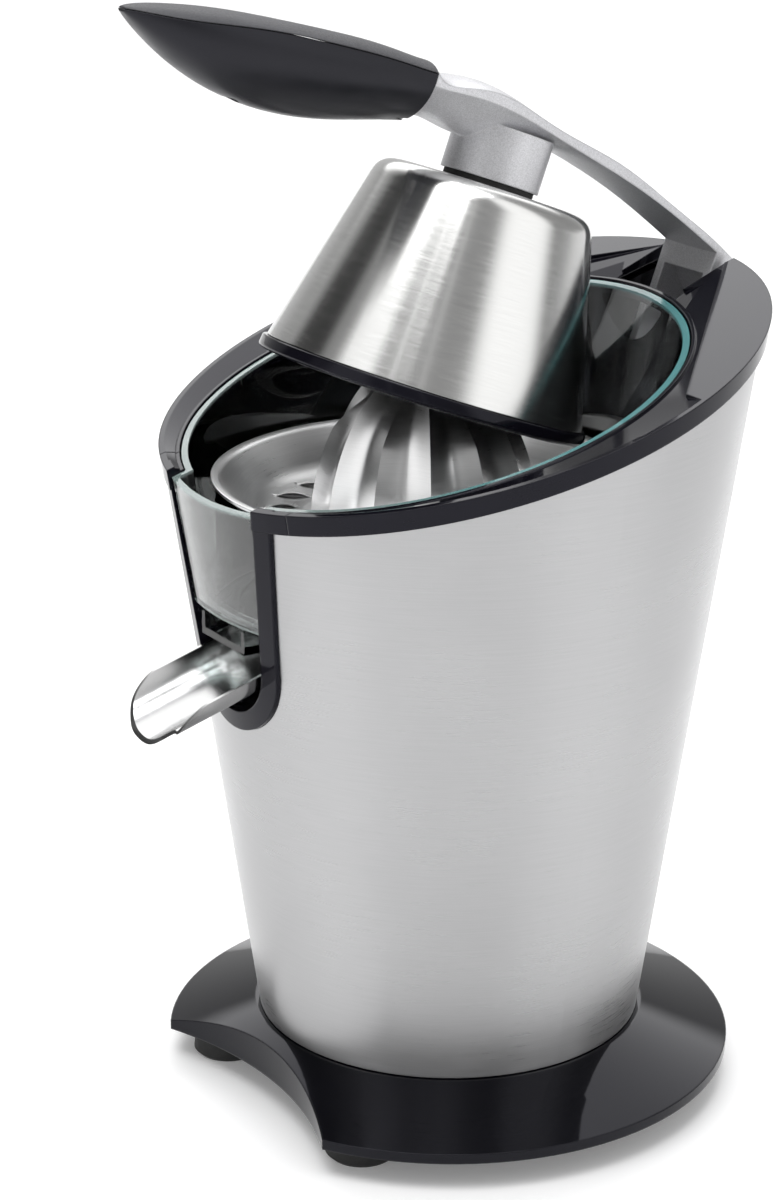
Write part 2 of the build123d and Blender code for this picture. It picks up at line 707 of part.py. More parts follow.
# ---------- lever arm, modelled closed and then lifted ----------
def lifted(shape):
    about = Pos(0, HINGE_Y, HINGE_Z) * Rot(ARM_TILT, 0, 0) * Pos(0, -HINGE_Y, -HINGE_Z)
    return about * shape


def arm_point(y, z):
    return (y, MOUTH_Z + z)


ARM_SECTIONS = [    # y, half width, top edge, crown, lower edge, keel half width, keel
    (GRIP_END, 16.6, 101.9, 104.9, 97.8, 8.8, 83.9), (-24.0, 16.5, 101.8, 104.4, 98.8, 8.6, 86.3),
    (-2.0, 16.2, 100.2, 102.4, 97.2, 8.6, 88.6), (20.0, 15.5, 96.5, 97.8, 93.4, 8.6, 91.6),
    (40.0, 14.9, 93.8, 94.4, 90.1, 8.6, 89.7), (60.0, ARM_HALF, 88.7, 89.1, 85.9, 8.6, 85.6),
    (80.0, ARM_HALF, 82.9, 83.3, 80.2, 8.6, 79.9), (95.0, ARM_HALF, 77.9, 78.3, 75.2, 8.6, 74.9),
    (106.0, ARM_HALF, 74.1, 74.5, 71.0, 8.6, 70.7),
]


def arm_bar():
    """The curved bar: a thin crowned strap that deepens into a keel before the boss."""
    sections = []
    for y, half, edge, crown, low, keel_half, keel in ARM_SECTIONS:
        step = (low - keel) * 0.3
        top = Spline((-half, edge), (-half * 0.6, edge + (crown - edge) * 0.66), (0, crown),
                     (half * 0.6, edge + (crown - edge) * 0.66), (half, edge))
        right = Line((half, edge), (half, low))
        under = Spline((half, low), (keel_half, keel + step), (0, keel),
                       (-keel_half, keel + step), (-half, low))
        left = Line((-half, low), (-half, edge))
        plane = Plane(origin=(0, y, MOUTH_Z), x_dir=(1, 0, 0), z_dir=(0, -1, 0))
        sections.append(plane * make_face([top, right, under, left]))
    return loft(sections)


def arm_cheek_profile():
    """Side view of the two legs and the heel that join the bar to the hinge."""
    hinge = HINGE_Z - MOUTH_Z
    rear_y = HINGE_Y + KNUCKLE_R
    front_y = HINGE_Y - KNUCKLE_R
    heel = Spline(arm_point(105.9, 74.4), arm_point(111.4, 69.6), arm_point(rear_y, 60.0),
                  tangents=[(1, -0.45), (0, -1)])
    back = Line(heel @ 1, arm_point(rear_y, hinge))
    knuckle = ThreePointArc(back @ 1, arm_point(HINGE_Y, hinge - KNUCKLE_R), arm_point(front_y, hinge))
    front = Line(knuckle @ 1, arm_point(front_y, 76.4))
    lid = Line(front @ 1, arm_point(105.9, 74.4))
    return make_face([Plane.YZ * edge for edge in (heel, back, knuckle, front, lid)])


def arm_beam():
    cheeks = extrude(arm_cheek_profile(), ARM_HALF, both=True)
    front_y = HINGE_Y - KNUCKLE_R
    rear_y = HINGE_Y + KNUCKLE_R
    opening = block(-LEG_IN, LEG_IN, front_y - 5, rear_y - 3, 200, MOUTH_Z + 68)
    opening += block(-LEG_IN, LEG_IN, front_y - 5, rear_y + 5, 200, HINGE_Z + 14)
    opening += block(-LEG_IN, LEG_IN, front_y + 3, rear_y - 3, 200, MOUTH_Z + 73)
    body = arm_bar() + (cheeks - opening)
    brace = make_face(Plane.YZ * Polyline(
        arm_point(front_y + 2, 71), arm_point(front_y + 5, 71), arm_point(rear_y - 2, 56),
        arm_point(rear_y - 2, 53), close=True))
    body += extrude(brace, LEG_IN + 1, both=True)
    body += disc(17, MOUTH_Z + 75.2, MOUTH_Z + 93) & arm_under()
    body -= rod_x(5.5, -30, 30, HINGE_Y, HINGE_Z)
    tang = Plane.YZ * Polyline(
        arm_point(-118, 92), arm_point(-30, 98), arm_point(-30, 90), arm_point(-118, 86), close=True)
    body += extrude(make_face(tang), 7, both=True)
    for y, head in GRIP_SCREWS:
        body -= disc(1.6, MOUTH_Z + 60, MOUTH_Z + head + 12.3, 0, y)
    body -= disc(3.05, MOUTH_Z + 60, MOUTH_Z + 90)
    return lifted(body)


def arm_under():
    """Keeps the boss from rising through the top of the casting."""
    return block(-60, 60, -60, 60, 200, MOUTH_Z + 94)


GRIP_SECTIONS = [    # y, half width, belly, seam, crown
    (-150.6, 2.2, 88.0, 88.9, 89.6), (-145.0, 7.6, 85.0, 89.9, 91.9), (-134.0, 12.6, 79.8, 91.6, 95.0),
    (-116.0, 16.4, 74.6, 95.2, 98.8), (-98.0, 17.6, 73.1, 98.0, 101.4), (-76.0, 17.6, 75.4, 100.1, 103.9),
    (-56.0, 17.1, 80.6, 101.2, 104.9), (GRIP_END - FIT, 16.7, 83.9, 101.6, 105.0),
]


def grip_loft(inset, upper):
    """Lofted half of the grip: the belly below the seam, or the panel above it."""
    sections = []
    for y, half, belly, seam, crown in GRIP_SECTIONS:
        far = crown if upper else belly + inset
        width = max(half - inset, 0.6)
        edge_z = seam + (0.12 if upper else -0.12)
        if not upper:
            far = min(far, edge_z - 0.5)
        arc = Spline((width, edge_z), (width * 0.72, edge_z + (far - edge_z) * 0.74), (0, far),
                     (-width * 0.72, edge_z + (far - edge_z) * 0.74), (-width, edge_z))
        lid = Line((-width, edge_z), (width, edge_z))
        plane = Plane(origin=(0, y, MOUTH_Z), x_dir=(1, 0, 0), z_dir=(0, -1, 0))
        sections.append(plane * make_face([arc, lid]))
    return loft(sections)


def grip_bottom():
    shell = grip_loft(0, False)
    hollow = grip_loft(2.4, False) & block(-30, 30, -140, 0, MOUTH_Z + 60, MOUTH_Z + 110)
    shell -= hollow
    for y, head in GRIP_SCREWS:
        shell += disc(4.6, MOUTH_Z + 70, MOUTH_Z + 84.5, 0, y) & grip_loft(0, False)
        shell -= disc(2.0, MOUTH_Z + 60, MOUTH_Z + 100, 0, y)
        shell -= disc(3.1, MOUTH_Z + 60, MOUTH_Z + head + 0.05, 0, y)
    shell -= block(-7.3, 7.3, -119, 0, MOUTH_Z + 84.6, MOUTH_Z + 99.0)
    return lifted(shell)


def grip_top():
    return lifted(grip_loft(0, True))


def grip_screws():
    return lifted(group(screw(0, y, MOUTH_Z + head, 12, radius=1.5) for y, head in GRIP_SCREWS))


def cup_wall(offset, z_low):
    r = CUP_R + offset
    top = CUP_H + offset
    return [
        (0, z_low), (r - 0.268 * z_low, z_low), (r - 17.4, 65.0 + offset), (r - 19.6, 69.6 + offset),
        (r - 24.0, 72.4 + offset), (r - 31.0, top), (0, top)]


def at_mouth(points):
    return [(r, MOUTH_Z + z) for r, z in points]


def press_cup():
    cup = turned(at_mouth(cup_wall(0, 4.6))) - turned(at_mouth(cup_wall(-1.1, 4.0)))
    return lifted(cup - disc(3.2, 200, TOP))


def cup_ring():
    """Black ring around the mouth of the cup."""
    ring = turned(at_mouth([
        (51.9, 0), (56.2, 0), (57.2, 1.0), (56.6, 4.5), (54.1, 4.5), (53.0, 8.5), (51.9, 8.5)]))
    return lifted(ring)


def press_dome():
    """Ribbed inner dome that holds the fruit."""
    outer = [(0, 9), (51.9, 9), (48.8, 22), (43.6, 38), (33.0, 51), (20.0, 59), (0, 62)]
    inner = [(0, 8), (49.8, 8), (46.7, 21.5), (41.6, 36.5), (31.4, 49), (18.8, 56.6), (0, 59.4)]
    dome = turned(at_mouth(outer)) - turned(at_mouth(inner))
    rib = block(22, 52, -0.9, 0.9, MOUTH_Z + 9, MOUTH_Z + 57) & turned(at_mouth(inner))
    rib = rib - disc(60, MOUTH_Z, MOUTH_Z + 57) + (rib - turned(at_mouth(
        [(0, 8), (47.4, 8), (44.3, 20.5), (39.2, 35.0), (29.4, 47), (17, 54), (0, 57)])))
    dome += polar(rib, 10)
    return lifted(dome - disc(3.2, 200, TOP))


def cup_spacer():
    return lifted(tube(6.5, 3.2, MOUTH_Z + 62.2, MOUTH_Z + 72.2))


def cup_gasket():
    return lifted(tube(15.6, 3.2, MOUTH_Z + CUP_H, MOUTH_Z + 75.1))


def cup_bolt():
    bolt = disc(3.0, MOUTH_Z + 54, MOUTH_Z + 89) + disc(6.0, MOUTH_Z + 54, MOUTH_Z + 58.0)
    return lifted(bolt - hexagon(2.5, MOUTH_Z + 50, MOUTH_Z + 56.5))


def hinge_pin():
    """Plain pin, held between the two sides of the housing."""
    return rod_x(PIN_R, -19.9, 19.9, HINGE_Y, HINGE_Z)


def hinge_bushes():
    bushes = []
    for side in (-1, 1):
        x0, x1 = sorted((side * LEG_IN, side * ARM_HALF))
        bore = rod_x(PIN_R + 0.05, x0 - 1, x1 + 1, HINGE_Y, HINGE_Z)
        bushes.append(rod_x(5.45, x0, x1, HINGE_Y, HINGE_Z) - bore)
    return lifted(group(bushes))


def friction_washers():
    washers = []
    for side in (-1, 1):
        x0, x1 = sorted((side * (ARM_HALF + 0.35), side * (POCKET_HALF - 0.1)))
        bore = rod_x(PIN_R + 0.1, x0 - 1, x1 + 1, HINGE_Y, HINGE_Z)
        washers.append(rod_x(7, x0, x1, HINGE_Y, HINGE_Z) - bore)
    return group(washers)


# ---------- output ----------
PARTS = [
    base_flange, base_cover, rubber_feet, base_screws,
    housing_skin, inner_liner, rim_trim, front_frame, hinge_pocket, cord_gland,
    deck, deck_screws, motor_plate, plate_screws, motor_can, motor_stator, motor_end_cap,
    motor_bushes, motor_screws, motor_shaft, motor_armature, cooling_fan, motor_pinion,
    idler_gear, idler_pin, idler_washers, output_gear, output_carrier,
    spindle, spindle_bushes, spindle_seal, return_spring,
    switch_body, switch_bracket, switch_plunger, terminal_block,
    juice_bowl, strainer, reamer, spout, spout_pins,
    arm_beam, grip_bottom, grip_top, grip_screws,
    press_cup, cup_ring, press_dome, cup_spacer, cup_gasket, cup_bolt,
    hinge_pin, hinge_bushes, friction_washers,
]


def main():
    os.makedirs("parts", exist_ok=True)
    for make in PARTS:
        export_step(Pos(0, AXIS_Y, 0) * make(), f"parts/{make.__name__}.step")


main()
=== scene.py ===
"""Looks of the citrus press juicer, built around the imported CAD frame. Metres, +Z up, spout at -Y."""

from math import atan, cos, pi, radians, sin, sqrt, tan

import bmesh
import bpy
from mathutils import Matrix, Vector


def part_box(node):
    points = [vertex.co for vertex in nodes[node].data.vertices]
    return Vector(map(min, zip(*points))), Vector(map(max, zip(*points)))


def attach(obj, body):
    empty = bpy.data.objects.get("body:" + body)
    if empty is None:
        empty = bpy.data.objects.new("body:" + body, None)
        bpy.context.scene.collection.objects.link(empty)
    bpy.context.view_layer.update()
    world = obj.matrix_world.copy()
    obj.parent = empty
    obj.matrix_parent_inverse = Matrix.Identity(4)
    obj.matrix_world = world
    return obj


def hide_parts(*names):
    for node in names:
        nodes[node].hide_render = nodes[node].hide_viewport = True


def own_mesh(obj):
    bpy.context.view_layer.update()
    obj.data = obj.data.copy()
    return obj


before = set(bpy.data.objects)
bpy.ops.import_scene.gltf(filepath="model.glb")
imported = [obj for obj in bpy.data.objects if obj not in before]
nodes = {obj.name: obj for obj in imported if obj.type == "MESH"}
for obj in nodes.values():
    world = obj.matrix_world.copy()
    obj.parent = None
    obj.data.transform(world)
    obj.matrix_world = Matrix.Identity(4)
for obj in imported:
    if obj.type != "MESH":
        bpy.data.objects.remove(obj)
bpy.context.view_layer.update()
scene = bpy.context.scene

# ---------- dimensions shared with the CAD ----------
AXIS_Y = -0.008                       # reamer axis
BODY_Y = 0.003                        # axis of the conical body
HINGE = Vector((0.0, 0.095, 0.234))
ARM_TILT = radians(-21)
MOUTH_Z = 0.210                       # mouth of the press cup when the arm is closed
RIM_Z = 0.2522
RIM_SLOPE = 0.279
BOWL_DROP = 0.0028
SPRING_R = 0.0072
SLOTS = 22                            # in the strainer
SLOT_MIDDLE = 0.050                   # distance of a slot's middle from the reamer axis
SLOT_TURN = radians(38)               # slant of a slot from the radius
SLOT_HALF = 0.0068                    # half its length between the round ends
SLOT_ROUND = 0.0008                   # radius of those ends
REAMER_FOOT = 0.2086
LIFT = Matrix.Translation(HINGE) @ Matrix.Rotation(ARM_TILT, 4, "X") @ Matrix.Translation(-HINGE)
CUP_AXIS = (LIFT.to_3x3() @ Vector((0, 0, 1))).normalized()
CUP_POINT = LIFT @ Vector((0, AXIS_Y, MOUTH_Z))
UPRIGHT = Vector((0, 0, 1))
ON_AXIS = Matrix.Translation((0, AXIS_Y, 0))


# ---------- shader helpers ----------
class Shader:
    """A material being built: each call adds one node and returns its output."""

    def __init__(self, name):
        self.material = bpy.data.materials.new(name)
        self.material.use_nodes = True
        self.tree = self.material.node_tree
        self.tree.nodes.clear()
        self.out = self.tree.nodes.new("ShaderNodeOutputMaterial")
        self.bsdf = self.tree.nodes.new("ShaderNodeBsdfPrincipled")
        self.tree.links.new(self.bsdf.outputs[0], self.out.inputs["Surface"])
        self.place = self.add("ShaderNodeTexCoord").outputs["Object"]

    def add(self, kind, **settings):
        node = self.tree.nodes.new(kind)
        for key, value in settings.items():
            setattr(node, key, value)
        return node

    def feed(self, socket, value):
        if isinstance(value, bpy.types.NodeSocket):
            self.tree.links.new(value, socket)
        else:
            socket.default_value = value

    def set(self, **values):
        for key, value in values.items():
            self.feed(self.bsdf.inputs[key.replace("_", " ")], value)
        return self

    def math(self, operation, a, b=0.0):
        node = self.add("ShaderNodeMath", operation=operation)
        self.feed(node.inputs[0], a)
        self.feed(node.inputs[1], b)
        return node.outputs[0]

    def vector(self, operation, a, b=(0, 0, 0)):
        node = self.add("ShaderNodeVectorMath", operation=operation)
        self.feed(node.inputs[0], a)
        self.feed(node.inputs[1], b)
        return node.outputs["Value"] if operation == "DOT_PRODUCT" else node.outputs[0]

    def scaled(self, vector, factors):
        return self.vector("MULTIPLY", vector, factors)

    def split(self, vector):
        node = self.add("ShaderNodeSeparateXYZ")
        self.feed(node.inputs[0], vector)
        return node.outputs

    def join(self, x, y, z):
        node = self.add("ShaderNodeCombineXYZ")
        for socket, value in zip(node.inputs, (x, y, z)):
            self.feed(socket, value)
        return node.outputs[0]

    def noise(self, vector, scale=1.0, detail=2.0, roughness=0.5):
        node = self.add("ShaderNodeTexNoise")
        self.feed(node.inputs["Vector"], vector)
        self.feed(node.inputs["Scale"], scale)
        self.feed(node.inputs["Detail"], detail)
        self.feed(node.inputs["Roughness"], roughness)
        return node.outputs["Fac"]

    def cells(self, vector, scale):
        node = self.add("ShaderNodeTexVoronoi")
        self.feed(node.inputs["Vector"], vector)
        self.feed(node.inputs["Scale"], scale)
        return node.outputs["Color"]

    def span(self, value, low_in, high_in, low_out, high_out, smooth=False):
        node = self.add("ShaderNodeMapRange")
        if smooth:
            node.interpolation_type = "SMOOTHSTEP"
        for i, part in enumerate((value, low_in, high_in, low_out, high_out)):
            self.feed(node.inputs[i], part)
        return node.outputs[0]

    def mix(self, factor, a, b):
        node = self.add("ShaderNodeMix", data_type="RGBA")
        self.feed(node.inputs[0], factor)
        self.feed(node.inputs[6], a)
        self.feed(node.inputs[7], b)
        return node.outputs[2]

    def bump(self, height, distance, strength=1.0, normal=None):
        node = self.add("ShaderNodeBump")
        self.feed(node.inputs["Strength"], strength)
        self.feed(node.inputs["Distance"], distance)
        self.feed(node.inputs["Height"], height)
        if normal is not None:
            self.feed(node.inputs["Normal"], normal)
        return node.outputs[0]

    def soft_edges(self, radius):
        node = self.add("ShaderNodeBevel", samples=4)
        self.feed(node.inputs["Radius"], radius)
        return node.outputs[0]


def rgb(value, tint=(1.0, 1.0, 1.0)):
    return (value * tint[0], value * tint[1], value * tint[2], 1.0)


def round_axis(sh, point, axis):
    """Angle round an axis (radians, cut at the back), distance from it and height along it."""
    side = Vector((1, 0, 0))
    back = axis.cross(side)
    arm = sh.vector("SUBTRACT", sh.place, tuple(point))
    across = sh.vector("DOT_PRODUCT", arm, tuple(side))
    deep = sh.vector("DOT_PRODUCT", arm, tuple(-back))
    height = sh.vector("DOT_PRODUCT", arm, tuple(axis))
    angle = sh.math("ARCTAN2", across, deep)
    squares = sh.math("ADD", sh.math("MULTIPLY", across, across), sh.math("MULTIPLY", deep, deep))
    reach = sh.math("SQRT", squares)
    return arm, angle, reach, height


def brushed(name, point, axis, value, rough, spread, flat=False, tint=(1.0, 1.0, 1.0), wear=0.03,
            depth=0.00001):
    """Steel brushed round an axis: fine lines, a long highlight across them and slight handling marks."""
    sh = Shader(name)
    arm, angle, reach, height = round_axis(sh, point, axis)
    along = reach if flat else height

    def lines(round_scale, along_scale, offset):
        """Noise drawn out into lines round the axis."""
        turned = sh.math("MULTIPLY", angle, round_scale)
        return sh.noise(sh.join(turned, sh.math("MULTIPLY", along, along_scale), offset), 1.0, 3.0)

    fine = lines(4.0, 2600.0, 0.0)
    broad = lines(2.5, 900.0, 3.0)
    cloud = sh.noise(sh.place, 22.0, 3.0, 0.55)
    grain = sh.math("ADD", sh.math("MULTIPLY", fine, 0.7), sh.math("MULTIPLY", broad, 0.3))
    rough_low = sh.span(grain, 0.3, 0.7, rough - 0.03, rough + 0.04)
    roughness = sh.math("ADD", rough_low, sh.span(cloud, 0.35, 0.7, -0.01, wear))
    shade = sh.mix(sh.span(grain, 0.3, 0.7, 0.0, 1.0), rgb(value * 0.95, tint), rgb(value * 1.04, tint))
    tangent = sh.vector("CROSS_PRODUCT", tuple(axis), arm)
    turn = sh.add("ShaderNodeVectorTransform", vector_type="VECTOR",
                  convert_from="OBJECT", convert_to="WORLD")
    sh.feed(turn.inputs[0], tangent)
    tangent = sh.vector("NORMALIZE", turn.outputs[0])
    sh.set(Base_Color=shade, Metallic=1.0, Roughness=roughness, Tangent=tangent)
    sh.set(Normal=sh.bump(fine, depth, 0.6))
    sh.bsdf.inputs["Anisotropic"].default_value = spread
    sh.bsdf.inputs["Anisotropic Rotation"].default_value = 0.25
    return sh.material


def moulded(name, value, rough, tint=(1.0, 1.0, 1.0), grain=0.0, edge=0.0, wave=0.00003, shine=0.5):
    """Injection moulded plastic: faint waviness, uneven gloss, an optional spark-eroded grain and a painted
    bluish tint on its reflections.
    """
    sh = Shader(name)
    slow = sh.noise(sh.place, 35.0, 2.0)
    fine = sh.noise(sh.place, 900.0, 3.0, 0.6)
    smear = sh.noise(sh.scaled(sh.place, (1.0, 1.0, 3.0)), 60.0, 4.0, 0.65)
    shade = sh.mix(sh.span(smear, 0.3, 0.7, 0.0, 1.0), rgb(value * 0.88, tint), rgb(value * 1.12, tint))
    sh.set(Base_Color=shade, Roughness=sh.span(smear, 0.3, 0.75, rough * 0.85, rough * 1.25))
    normal = sh.soft_edges(edge) if edge else None
    normal = sh.bump(slow, wave, 0.5, normal)
    if grain:
        normal = sh.bump(fine, grain, 0.8, normal)
    sh.set(Normal=normal)
    sh.bsdf.inputs["Specular IOR Level"].default_value = shine
    # Painted reflection: a bluish tint on the reflections stands in for a bluish studio light.
    sh.bsdf.inputs["Specular Tint"].default_value = (0.88, 0.88, 1.0, 1.0)
    return sh.material


def cast_silver():
    """Fine metallic finish on a die casting: small flakes that each catch the light differently."""
    sh = Shader("cast_silver")
    flakes = sh.split(sh.cells(sh.place, 4200.0))
    cloud = sh.noise(sh.place, 70.0, 4.0, 0.6)
    level = sh.math("ADD", sh.math("MULTIPLY", flakes[0], 0.75), sh.math("MULTIPLY", cloud, 0.25))
    shade = sh.mix(level, rgb(0.48, (1.0, 1.0, 1.03)), rgb(0.72, (1.0, 1.0, 1.03)))
    sh.set(Base_Color=shade, Metallic=0.65, Roughness=sh.span(flakes[1], 0.0, 1.0, 0.34, 0.48))
    normal = sh.bump(flakes[2], 0.00002, 0.35, sh.soft_edges(0.0008))
    sh.set(Normal=normal)
    return sh.material


def machined(name, value, rough, tint=(1.0, 1.0, 1.0)):
    """Plain turned or plated metal inside the machine."""
    sh = Shader(name)
    lines = sh.noise(sh.scaled(sh.place, (300.0, 300.0, 1500.0)), 1.0, 3.0)
    cloud = sh.noise(sh.place, 90.0, 3.0)
    shade = sh.mix(cloud, rgb(value * 0.85, tint), rgb(value * 1.1, tint))
    sh.set(Base_Color=shade, Metallic=1.0, Roughness=sh.span(lines, 0.3, 0.7, rough * 0.8, rough * 1.2))
    sh.set(Normal=sh.bump(lines, 0.00002, 0.5))
    return sh.material


def clear_plastic():
    """Clear bowl, blue-green where the wall is seen edge on, that blue-green painted deeper towards the
    right-rear side as painted light.
    """
    sh = Shader("clear_bowl")
    slope = atan(RIM_SLOPE)
    up = Vector((0, -sin(slope), cos(slope)))
    edge_point = Vector((0, AXIS_Y, RIM_Z - BOWL_DROP))
    below = sh.vector("DOT_PRODUCT", sh.vector("SUBTRACT", sh.place, tuple(edge_point)), tuple(up))
    lip = sh.span(below, -0.0014, -0.0004, 0.0, 1.0, True)
    x, y, z = sh.split(sh.place)
    front = sh.span(y, -0.0765, -0.0745, 1.0, 0.0)
    from_foot = sh.math("ABSOLUTE", sh.math("SUBTRACT", z, 0.1843))
    foot = sh.math("MULTIPLY", sh.span(from_foot, 0.0, 0.0007, 1.0, 0.0), front)
    tinted = sh.math("MAXIMUM", lip, foot)
    smear = sh.noise(sh.scaled(sh.place, (1.0, 1.0, 0.4)), 60.0, 4.0, 0.6)
    # Painted light: the lip's blue-green is painted deeper towards +X and +Y, the side the light falls from.
    painted_light_side = sh.math("ADD", sh.math("MULTIPLY", x, 0.8), sh.math("MULTIPLY", y, 0.6))
    painted_light_side = sh.span(painted_light_side, -0.01, 0.06, 0.0, 1.0, True)
    edge = sh.mix(painted_light_side, (0.72, 0.90, 0.87, 1.0), (0.30, 0.84, 0.86, 1.0))
    sh.set(Base_Color=sh.mix(tinted, (0.96, 0.985, 0.98, 1.0), edge))
    sh.set(Roughness=sh.math("ADD", sh.span(smear, 0.5, 0.8, 0.0, 0.03), sh.math("MULTIPLY", tinted, 0.10)))
    sh.set(Transmission_Weight=sh.span(tinted, 0.0, 1.0, 1.0, 0.75))
    sh.set(Normal=sh.bump(smear, 0.00002, 0.3))
    sh.bsdf.inputs["IOR"].default_value = 1.5
    return sh.material


def rubber():
    """Dusty matt rubber."""
    sh = Shader("soft_rubber")
    fine = sh.noise(sh.place, 1400.0, 3.0, 0.6)
    dust = sh.noise(sh.place, 130.0, 4.0, 0.6)
    sh.set(Base_Color=sh.mix(sh.span(dust, 0.45, 0.75, 0.0, 1.0), rgb(0.012), rgb(0.035)))
    sh.set(Roughness=sh.span(dust, 0.3, 0.7, 0.62, 0.85), Normal=sh.bump(fine, 0.00006, 0.6))
    return sh.material


def grip_panel():
    """Upper shell of the grip: finely spark-eroded, a little lighter than the belly."""
    sh = Shader("grip_panel")
    fine = sh.noise(sh.place, 1500.0, 3.0, 0.65)
    cloud = sh.noise(sh.place, 45.0, 3.0)
    # The bluish tint is painted colour of a bluish studio light.
    sh.set(Base_Color=sh.mix(cloud, rgb(0.024, (1.0, 1.0, 1.2)), rgb(0.036, (1.0, 1.0, 1.2))))
    sh.set(Roughness=sh.span(fine, 0.3, 0.7, 0.42, 0.62))
    sh.set(Normal=sh.bump(fine, 0.00009, 0.75, sh.soft_edges(0.0006)))
    return sh.material


# ---------- mesh helpers ----------
def make_piece(name, verts, faces, material, body, stands_for, sharp=40):
    """Welded mesh piece, smooth except at edges over sharp degrees."""
    mesh = bpy.data.meshes.new(name)
    mesh.from_pydata(verts, [], faces)
    work = bmesh.new()
    work.from_mesh(mesh)
    bmesh.ops.remove_doubles(work, verts=work.verts, dist=1e-6)
    bmesh.ops.recalc_face_normals(work, faces=work.faces)
    for edge in work.edges:
        edge.smooth = len(edge.link_faces) != 2 or edge.calc_face_angle(0.0) < radians(sharp)
    for face in work.faces:
        face.smooth = True
    work.to_mesh(mesh)
    work.free()
    piece = bpy.data.objects.new(name, mesh)
    scene.collection.objects.link(piece)
    mesh.materials.append(material)
    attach(piece, body)
    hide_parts(*stands_for)
    return piece


def filleted(points, radii, steps=6):
    """Closed outline with each corner rounded by its radius."""
    outline = []
    count = len(points)
    for i in range(count):
        corner = Vector(points[i])
        radius = radii[i]
        before = Vector(points[i - 1]) - corner
        after = Vector(points[(i + 1) % count]) - corner
        if radius <= 0 or before.length < 1e-9 or after.length < 1e-9:
            outline.append(tuple(corner))
            continue
        half = before.angle(after) / 2
        cut = min(radius / tan(half), before.length * 0.49, after.length * 0.49)
        start = corner + before.normalized() * cut
        end = corner + after.normalized() * cut
        for k in range(steps + 1):
            t = k / steps
            point = start * (1 - t) ** 2 + corner * 2 * t * (1 - t) + end * t ** 2
            outline.append(tuple(point))
    return outline


def lathe(outline, matrix, segments=192):
    """Points and faces of a closed outline (radius, height) turned about the Z axis."""
    verts = []
    faces = []
    count = len(outline)
    for i in range(segments):
        angle = 2 * pi * i / segments
        for r, z in outline:
            verts.append(tuple(matrix @ Vector((r * sin(angle), -r * cos(angle), z))))
    for i in range(segments):
        follow = (i + 1) % segments
        for k in range(count):
            step = (k + 1) % count
            if outline[k][0] < 1e-9 and outline[step][0] < 1e-9:
                continue
            quad = (i * count + k, i * count + step, follow * count + step, follow * count + k)
            faces.append(quad)
    return verts, faces


def curve_through(points, z):
    """Radius at height z on a smooth curve through (radius, height) points."""
    for i in range(len(points) - 1):
        if points[i + 1][1] >= z or i == len(points) - 2:
            r0, z0 = points[i]
            r1, z1 = points[i + 1]
            before = points[max(i - 1, 0)]
            after = points[min(i + 2, len(points) - 1)]
            slope0 = (r1 - before[0]) / max(z1 - before[1], 1e-9)
            slope1 = (after[0] - r0) / max(after[1] - z0, 1e-9)
            span = z1 - z0
            t = min(max((z - z0) / span, 0.0), 1.0)
            h00 = 2 * t ** 3 - 3 * t ** 2 + 1
            h10 = t ** 3 - 2 * t ** 2 + t
            h01 = -2 * t ** 3 + 3 * t ** 2
            h11 = t ** 3 - t ** 2
            return h00 * r0 + h10 * span * slope0 + h01 * r1 + h11 * span * slope1
    return points[-1][0]


def at_mouth(outline):
    """The outline, its heights counted from the mouth of the press cup."""
    return [(r, z + MOUTH_Z) for r, z in outline]


# ---------- pieces that replace CAD nodes ----------
def cup_shell():
    """Drawn steel bell with a rounded shoulder."""
    outline = filleted(
        [(0.0554, 0.0046), (0.0371, 0.0727), (0.0034, 0.0736), (0.0034, 0.0725), (0.0362, 0.0716),
         (0.0543, 0.0046)],
        [0.0004, 0.0085, 0.0, 0.0, 0.0075, 0.0004], 10)
    verts, faces = lathe(at_mouth(outline), LIFT @ ON_AXIS, 256)
    steel = brushed("cup_steel", CUP_POINT, CUP_AXIS, 0.66, 0.17, 0.9, tint=(1.0, 1.0, 0.985), wear=0.015,
                    depth=0.000006)
    return make_piece("cup_shell", verts, faces, steel, "arm", ["press_cup"], 50)


def cup_lip(material):
    """Black ring round the mouth of the bell."""
    outline = filleted(
        [(0.0519, 0.0), (0.0562, 0.0), (0.0572, 0.0010), (0.0567, 0.0045), (0.0541, 0.0045), (0.0530, 0.0085),
         (0.0519, 0.0085)],
        [0.0004, 0.0008, 0.0008, 0.0005, 0.0002, 0.0003, 0.0003], 4)
    verts, faces = lathe(at_mouth(outline), LIFT @ ON_AXIS)
    return make_piece("cup_lip", verts, faces, material, "arm", ["cup_ring"], 50)


